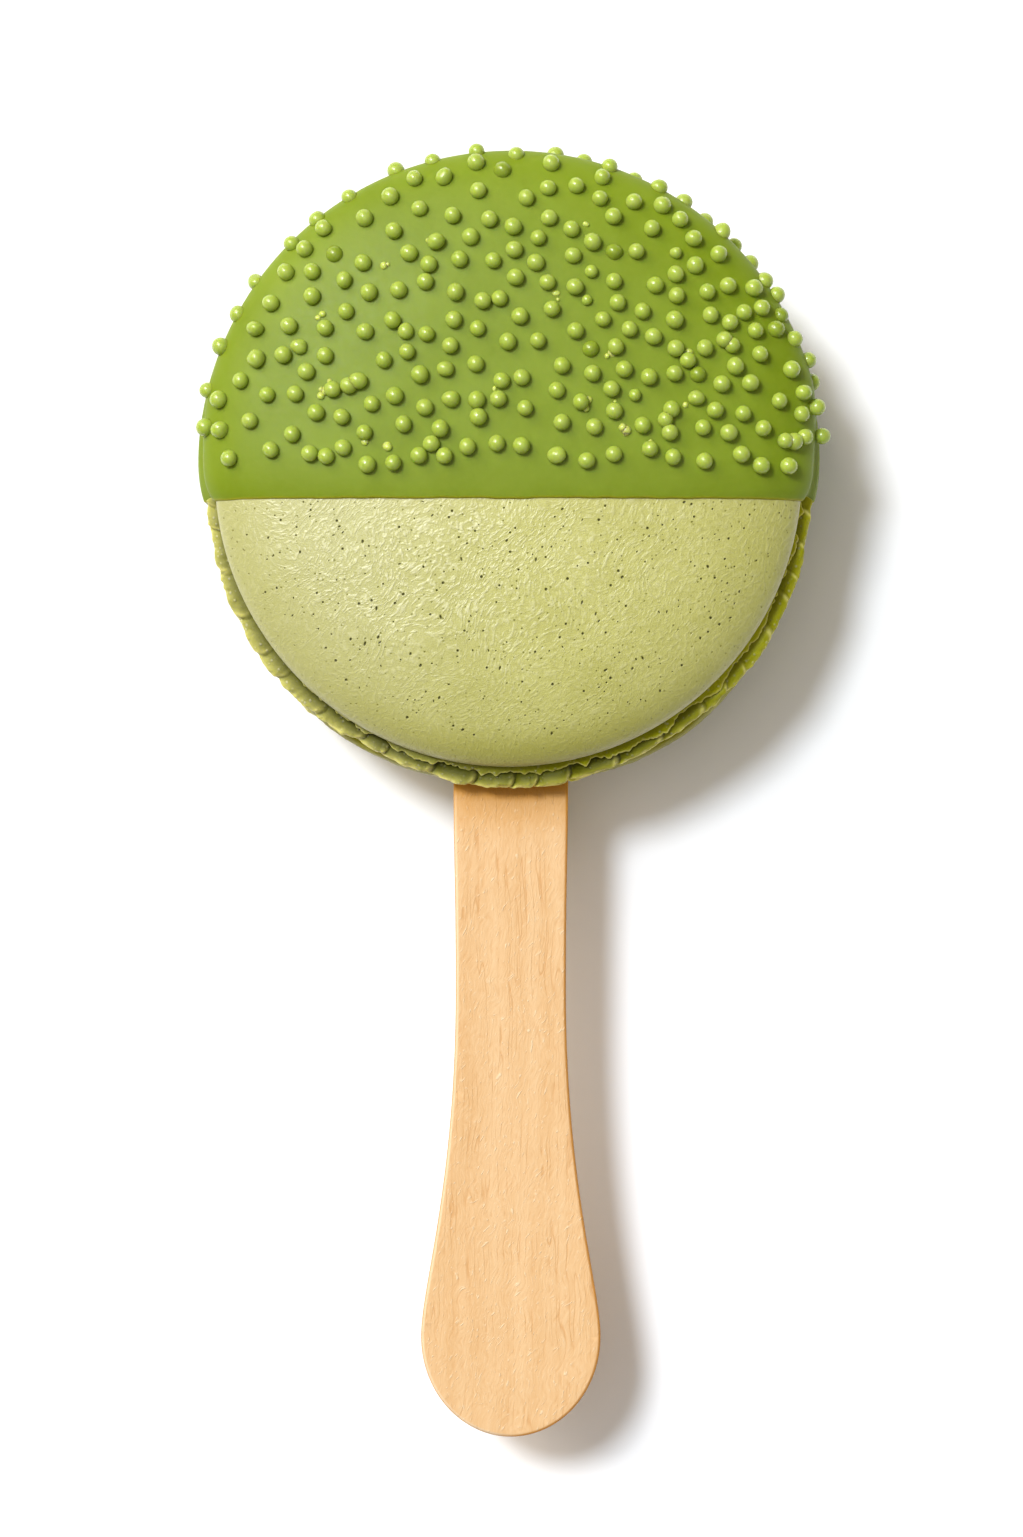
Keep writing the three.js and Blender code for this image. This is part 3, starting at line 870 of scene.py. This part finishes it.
def coating_side(columns):
    """Rows of the coating's side, between the widest lines of its two faces."""
    height = UPPER_RIM - LOWER_RIM
    mirrored = [(height - depth, out, beneath) for depth, out, beneath in COAT_SIDE[::-1]]
    depths, outs, radii = np.array([*COAT_SIDE, *mirrored]).T
    rows = []
    for depth in np.linspace(0, height, 48)[1:-1]:
        # how much of the shift of the dome above it and of the one below it the macaron has here
        up, down = (np.interp(off, [0, 0.9, 2.6], [1, 0.8, 0]) for off in (depth, height - depth))
        shift = up * UPPER_DOME_SHIFT + down * LOWER_DOME_SHIFT
        foot = 1 - max(up, down)
        radius = COAT_RADIUS + np.interp(depth, depths, outs)
        angles = side_angles(radius, columns)
        x = COAT_CENTRE[0] + (radius + foot * (0.08 - 0.22 * np.cos(angles))) * np.cos(angles)
        y = COAT_CENTRE[1] + radius * np.sin(angles)
        side = np.where(x > 0, 1, -1)
        beneath = np.interp(depth, depths, radii) - 0.15 * foot * side
        under_x = shift[0] + side * np.sqrt(np.maximum(beneath**2 - (y - shift[1]) ** 2, 0))
        distance = y - DIP_Y
        skin_x = under_x + side * COAT_EDGE * nose(distance)
        fill = rim_taper(distance, np.abs(x - skin_x))
        here = np.stack([skin_x + (x - skin_x) * fill, y, np.full_like(x, UPPER_RIM - depth)], -1)
        waves = coating_waves(here) * fill * math.sin(math.pi * depth / height)
        here[:, 0] += waves * np.cos(angles)
        here[:, 1] += waves * np.sin(angles) * smoothstep(0, 3, distance)
        rows.append(here)
    return rows


def coating_face(edge, upper, rng):
    """A face of the coating inside its edge row: points in rows along the dip line, then a grid.

    Gives the points, the triangles over edge row and points, and how many points lie on the dip line."""
    limit = COAT_JOIN * COAT_RADIUS
    width = edge[0, 0] - edge[-1, 0]
    lines = []
    for step in EDGE_STEPS[:FACE_LINES]:
        end = math.sqrt(limit**2 - (DIP_Y + step - COAT_CENTRE[1]) ** 2)
        spacing = min(0.3, 0.16 + 0.1 * step)
        x = np.linspace(-end, end, int(width / spacing))[1:-1] * 0.995 + COAT_CENTRE[0]
        lines.append(np.column_stack([x, np.full(len(x), DIP_Y + step)]))
    grid = hexagonal(0.42, 34, rng)
    grid = grid[grid[:, 1] > DIP_Y + EDGE_STEPS[FACE_LINES - 1] + 0.3]
    grid = grid[away(grid, COAT_CENTRE) < limit - 0.3]
    inner = np.vstack(lines + [grid])
    faces = triangulate(np.vstack([edge, inner]))
    return coating_cap(inner, upper), faces, len(lines[0])


def make_coating():
    """The coating: its front, side and back, closed across the macaron at the dip line."""
    rng = np.random.default_rng(40)
    columns = 330
    radii = [COAT_RADIUS * share for _, share in edge_turns(COAT_JOIN, 16)]
    flat = [ring(radius, side_angles(radius, columns), 0, COAT_CENTRE)[:, :2] for radius in radii]
    top_rows = [coating_cap(places, True) for places in flat]
    low_rows = [coating_cap(places, False) for places in flat[::-1]]
    side = np.array(top_rows + coating_side(columns) + low_rows)
    top_inner, top_faces, line = coating_face(flat[0], True, rng)
    low_inner, low_faces, line = coating_face(flat[0], False, rng)
    points = np.vstack([side.reshape(-1, 3), top_inner, low_inner])
    side_end = side[..., 0].size
    side_index, top, low = np.split(np.arange(len(points)), [side_end, side_end + len(top_inner)])
    side_index = side_index.reshape(side.shape[:2])
    faces = strip_faces(*side_index.shape, False).tolist()
    faces += np.concatenate([side_index[0], top])[top_faces].tolist()
    faces += np.concatenate([side_index[-1], low])[low_faces][:, ::-1].tolist()
    # the last face closes it: along the front, down on the right, back along the back, up on the left
    border = [top[:line], side_index[:, 0], low[:line][::-1], side_index[::-1, -1]]
    faces.append(np.concatenate(border)[::-1].tolist())

    distance = points[:, 1] - DIP_Y
    across = np.column_stack([points[:, 0], np.zeros((len(points), 2))])
    wander = 0.07 * noise(across, 4.0, 33) + 0.04 * noise(across, 1.3, 34)
    points[:, 1] += wander * (1 - smoothstep(0, 2.5, distance))
    edge = 1 - smoothstep(0.03, 0.3, distance)
    return make_piece(
        "dip_coating", points, faces, [coating_material()], replaces=("coating",), slot="coating",
        edge=edge,
    )


# ---------- the pearls

def ball(steps):
    """A round ball of radius 1, as points and faces."""
    angles = np.linspace(0, TURN, 2 * steps, endpoint=False)
    turns = np.linspace(0, math.pi, steps + 1)[1:-1]
    rows = [ring(math.sin(turn), angles, math.cos(turn)) for turn in turns]
    return closed_form(rows, (0, 0, 1), (0, 0, -1))


def coating_spot(place):
    """A point of the coating's front over a place, and the direction out of it."""
    step = 0.05
    here = coating_cap(np.add(place, [(0, 0), (step, 0), (0, step)]), True)
    normal = np.cross(here[1] - here[0], here[2] - here[0])
    return here[0], normal / np.linalg.norm(normal)


def face_places(rng):
    """Places on the front, at least a spacing apart that is smaller to the right."""
    places = np.empty((0, 2))
    misses = 0
    while misses < 700:
        place = rng.uniform(-1, 1, 2) * COAT_RADIUS + COAT_CENTRE
        if away(place, COAT_CENTRE) > 0.955 * COAT_RADIUS or place[1] < PEARLS_START_Y:
            continue
        spacing = PEARL_SPACING_LEFT
        spacing += (PEARL_SPACING_RIGHT - PEARL_SPACING_LEFT) * smoothstep(-12, 22, place[0])
        if (away(places, place) < spacing).any():
            misses += 1
        else:
            places = np.vstack([places, place])
            misses = 0
    return places


def beside(places, share, least, most, rng):
    """A place beside each of a share of the places, at a distance from least to most."""
    chosen = places[rng.random(len(places)) < share]
    turns = rng.uniform(0, TURN, len(chosen))
    return chosen + ring(rng.uniform(least, most, len(chosen)), turns)[:, :2]


def side_places(rng):
    """Places round the side and the direction out of each: along the rim, and lower on the right."""
    spots = []
    angle = 0.0
    while angle < math.pi:
        rightwards = smoothstep(-0.3, 0.6, math.cos(angle))
        level = UPPER_RIM + rng.uniform(-0.4 - 6.0 * rightwards * rng.random(), 1.2)
        share = max(level - UPPER_RIM, 0) / (COAT_TOP - UPPER_RIM)
        radius = COAT_RADIUS * (1 - share**UP_POWER) ** (1 / ACROSS_POWER)
        out = np.array([math.cos(angle), math.sin(angle), 1.6 * share])
        spot = np.array([*(COAT_CENTRE + radius * out[:2]), level])
        if spot[1] > PEARLS_START_Y + 1:
            spots.append((spot, out / np.linalg.norm(out)))
        angle += rng.uniform(0.75, 1.25) * (4.2 - 1.9 * rightwards) / COAT_RADIUS
    return spots


def pearl_places(rng):
    """Where each pearl sits, which way it stands out, and how far it is sunk, in shares of its radius."""
    found = []

    def add(spot, out, sunk, least):
        if all(np.linalg.norm(spot - other[0]) > least for other in found):
            found.append((spot, out, sunk))

    for spot, out in side_places(rng):
        add(spot, out, rng.uniform(0.75, 1.1), 1.6)
    places = face_places(rng)
    for place in places:
        add(*coating_spot(place), rng.uniform(0.42, 0.62), 1.72)
    # some more beside them: a few that touch one, and fewer that lean on one
    for least, most, share in ((1.62, 1.8, 0.13), (0.85, 1.2, 0.03)):
        for place in beside(places, share, least, most, rng):
            if place[1] > PEARLS_START_Y and away(place, COAT_CENTRE) < 0.94 * COAT_RADIUS:
                add(*coating_spot(place), rng.uniform(0.5, 0.7), least - 0.03)
    return found


def make_pearls():
    """The pearls as one joined mesh: slightly uneven balls, sunk a little into the coating.

    A few lie deeper, under a film of the coating. Small sugar specks lie among them in some spots."""
    rng = np.random.default_rng(7)
    shape, shape_faces = ball(10)
    points, faces, shade, film = [], [], [], []

    def add(spot, out, radius, sunk, uneven, shade_here, film_here):
        start = len(points) * len(shape)
        form = shape * rng.uniform(1 - uneven, 1 + uneven, 3) * radius
        form = form * (1 + 1.5 * uneven * noise(form + 9.0 * len(points), 1.2 * radius, 71))[:, None]
        points.append(spot + out * radius * (1 - sunk) + form)
        faces.extend(tuple(k + start for k in face) for face in shape_faces)
        shade.append(shade_here)
        film.append(film_here)

    for spot, out, sunk in pearl_places(rng):
        small = rng.random() < SMALL_PEARLS
        radius = PEARL_RADIUS * (rng.uniform(0.62, 0.8) if small else rng.uniform(0.94, 1.03))
        filmed = rng.random() < FILMED_PEARLS
        uneven = 0.1 if rng.random() < UNEVEN_PEARLS else 0.03
        add(spot, out, radius, sunk + 0.45 * filmed, uneven, rng.random(), 0.75 * filmed)
    spots = 0
    while spots < SUGAR_SPOTS:
        place = rng.uniform(-0.8, 0.8, 2) * COAT_RADIUS + COAT_CENTRE
        if place[1] < PEARLS_START_Y or away(place, (0, 0)) > 0.85 * COAT_RADIUS:
            continue
        spots += 1
        for _ in range(rng.integers(1, 5)):
            spot, out = coating_spot(rng.normal(place, 0.35))
            add(spot, out, rng.uniform(0.14, 0.45), rng.uniform(0.8, 1.35), 0.12, 1.6, 0.0)
    return make_piece(
        "sugar_pearls", np.vstack(points), faces, [pearl_material()], slot="coating",
        shade=np.repeat(shade, len(shape)), film=np.repeat(film, len(shape)),
    )


# ---------- the stick

def bezier(start, first, second, end, count):
    """Points along a curve from start to end, with two handles."""
    t = np.linspace(0, 1, count)[:, None]
    ends = (1 - t) ** 3 * np.array(start) + t**3 * np.array(end)
    return ends + 3 * (1 - t) ** 2 * t * np.array(first) + 3 * (1 - t) * t**2 * np.array(second)


def stick_outline():
    """The stick's outline from above, anticlockwise from the right of its hidden tip."""
    half, neck, paddle = STICK_HALF_WIDTH, STICK_NECK_HALF_WIDTH, STICK_PADDLE_HALF_WIDTH
    start_y, neck_y, paddle_y = STICK_NECK_START_Y, STICK_NECK_Y, STICK_PADDLE_Y
    tip_y = STICK_HIGH[1] - STICK_TIP_LENGTH
    between = (start_y + neck_y) / 2
    handle_y, paddle_handle_y = neck_y - STICK_NECK_HANDLE, paddle_y + STICK_PADDLE_HANDLE
    turn = np.linspace(0, math.pi, 33)
    tip = np.column_stack([half * np.cos(turn), tip_y + STICK_TIP_LENGTH * np.sin(turn)])
    straight = np.column_stack([np.full(60, -half), np.linspace(tip_y, start_y, 60)])
    narrowing = bezier((-half, start_y), (-half, between), (-neck, between), (-neck, neck_y), 50)
    flare = bezier((-neck, neck_y), (-neck, handle_y), (-paddle, paddle_handle_y), (-paddle, paddle_y), 80)
    end_turn = np.linspace(math.pi, TURN, 71)
    end_length = paddle_y - STICK_LOW[1]
    end = np.column_stack([paddle * np.cos(end_turn), paddle_y + end_length * np.sin(end_turn)])
    left = [straight, narrowing, flare]
    right = [run[::-1] * [-1, 1] for run in left[::-1]]
    return np.vstack([run[:-1] for run in [tip, *left, end, *right]])


def inside_outline(point, outline):
    """Whether a point is inside a closed outline."""
    x, y = point
    x1, y1 = outline[:, 0], outline[:, 1]
    x2, y2 = np.roll(x1, -1), np.roll(y1, -1)
    crosses = (y1 > y) != (y2 > y)
    where = x1[crosses] + (y - y1[crosses]) * (x2[crosses] - x1[crosses]) / (y2[crosses] - y1[crosses])
    return np.count_nonzero(where > x) % 2 == 1


def make_stick():
    """The stick: rounded edges round its outline, and two broad faces that wave very slightly.

    Each of its points also has its marks for the darker sides, with painted shade on the right bevel, and
    for painted light on the left bevel."""
    rng = np.random.default_rng(50)
    outline = stick_outline()
    count = len(outline)
    ahead = np.roll(outline, -1, 0) - np.roll(outline, 1, 0)
    ahead /= np.linalg.norm(ahead, axis=1)[:, None]
    inward = np.column_stack([-ahead[:, 1], ahead[:, 0]])
    flat_half = (STICK_HIGH[2] - STICK_LOW[2]) / 2 - STICK_EDGE_RADIUS
    rows = []
    right = smoothstep(-2, 2, outline[:, 0])
    for turn in np.linspace(90, -90, 19):
        cos, sin = math.cos(math.radians(turn)), math.sin(math.radians(turn))
        inset = STICK_EDGE_RADIUS * (1 - cos)
        level = MIDDLE_LEVEL + flat_half * np.sign(turn) + STICK_EDGE_RADIUS * sin
        # the sides darker; on the right it reaches onto the bevel as painted shade
        side = np.clip(smoothstep(0.65, 0.95, cos) + right * smoothstep(0.15, 0.6, cos), 0, 1)
        # painted light on the left bevel only
        worn = 0.4 * (1 - right) * smoothstep(0.05, 0.3, cos)
        rows.append(np.column_stack([outline + inward * inset, np.full(count, level), side, worn]))
    grid = hexagonal(0.8, 100, rng)
    grid = grid[(grid[:, 1] > STICK_LOW[1]) & (grid[:, 1] < STICK_HIGH[1])]
    grid = grid[np.abs(grid[:, 0]) < STICK_PADDLE_HALF_WIDTH]
    points = np.vstack(rows)
    faces = strip_faces(len(rows), count, True).tolist()
    for row, up in ((0, True), (len(rows) - 1, False)):
        edge = rows[row][:, :2]
        inside = grid[[inside_outline(place, edge) for place in grid]]
        unmarked = np.zeros((len(inside), 1))
        waves = (0.02 if up else -0.02) * noise(np.hstack([inside, unmarked]), 3.0, 51)
        index = np.concatenate([row * count + np.arange(count), len(points) + np.arange(len(inside))])
        flat = np.vstack([edge, inside])
        found = triangulate(flat)
        found = found[[inside_outline(middle, edge) for middle in flat[found].mean(1)]]
        points = np.vstack([points, np.column_stack([inside, rows[row][0, 2] + waves, unmarked, unmarked])])
        faces += (index[found] if up else index[found][:, ::-1]).tolist()
    # painted shadow of the macaron on the stick: dark just past the feet, fading further out
    beyond = away(points, (0, 0)) - LOBE_RADIUS
    soaked = 0.5 * (1 - smoothstep(0.4, 1.7, beyond)) + 0.5 * (1 - smoothstep(1.0, 6.0, beyond))
    return make_piece(
        "wooden_stick", points[:, :3], faces, [wood_material()], replaces=("stick",), slot="wood",
        side=points[:, 3], worn=points[:, 4], soaked=soaked,
    )


# ---------- stage

def make_stage():
    """A white floor, the lights and the camera overhead.

    The key and a broad low light come from the upper left, a large one from above, and a weak fill
    from the lower right."""
    half = 1500
    corners = [(-half, -half, 0), (half, -half, 0), (half, half, 0), (-half, half, 0)]
    floor = make_piece("floor", corners, [(0, 1, 2, 3)], [floor_material()], body=None)

    for name, energy, size, azimuth, elevation, colour in LIGHTS:
        lamp = bpy.data.objects.new(name, bpy.data.lights.new(name, "SUN"))
        lamp.data.energy = energy
        lamp.data.angle = math.radians(size)
        lamp.data.color = colour
        turn, climb = math.radians(azimuth), math.radians(elevation)
        towards = Vector((math.cos(turn), math.sin(turn), math.tan(climb)))
        lamp.rotation_euler = towards.to_track_quat("Z", "Y").to_euler()
        bpy.context.scene.collection.objects.link(lamp)

    world = bpy.data.worlds.new("studio")
    world.use_nodes = True
    background = world.node_tree.nodes["Background"].inputs
    background["Color"].default_value = WORLD_COLOUR
    background["Strength"].default_value = WORLD_STRENGTH
    bpy.context.scene.world = world
    bpy.context.scene.view_settings.view_transform = "Standard"

    lens = bpy.data.cameras.new("camera")
    lens.lens = FOCAL_LENGTH_PX * lens.sensor_width / PICTURE_HEIGHT_PX
    lens.clip_end = 10
    camera = bpy.data.objects.new("camera", lens)
    camera.location = Vector(CAMERA_PLACE) * MM
    bpy.context.scene.collection.objects.link(camera)
    bpy.context.scene.camera = camera


shell_looks = [shell_material(), foot_material()]
make_shell("front_shell", "upper_shell", True, UPPER_DOME_SHIFT, shell_looks, 1, 0.27, 880, 270)
make_shell("back_shell", "lower_shell", False, LOWER_DOME_SHIFT, shell_looks, 2, 0.42, 560, 200)
make_filling()
make_coating()
make_pearls()
make_stick()
make_stage()
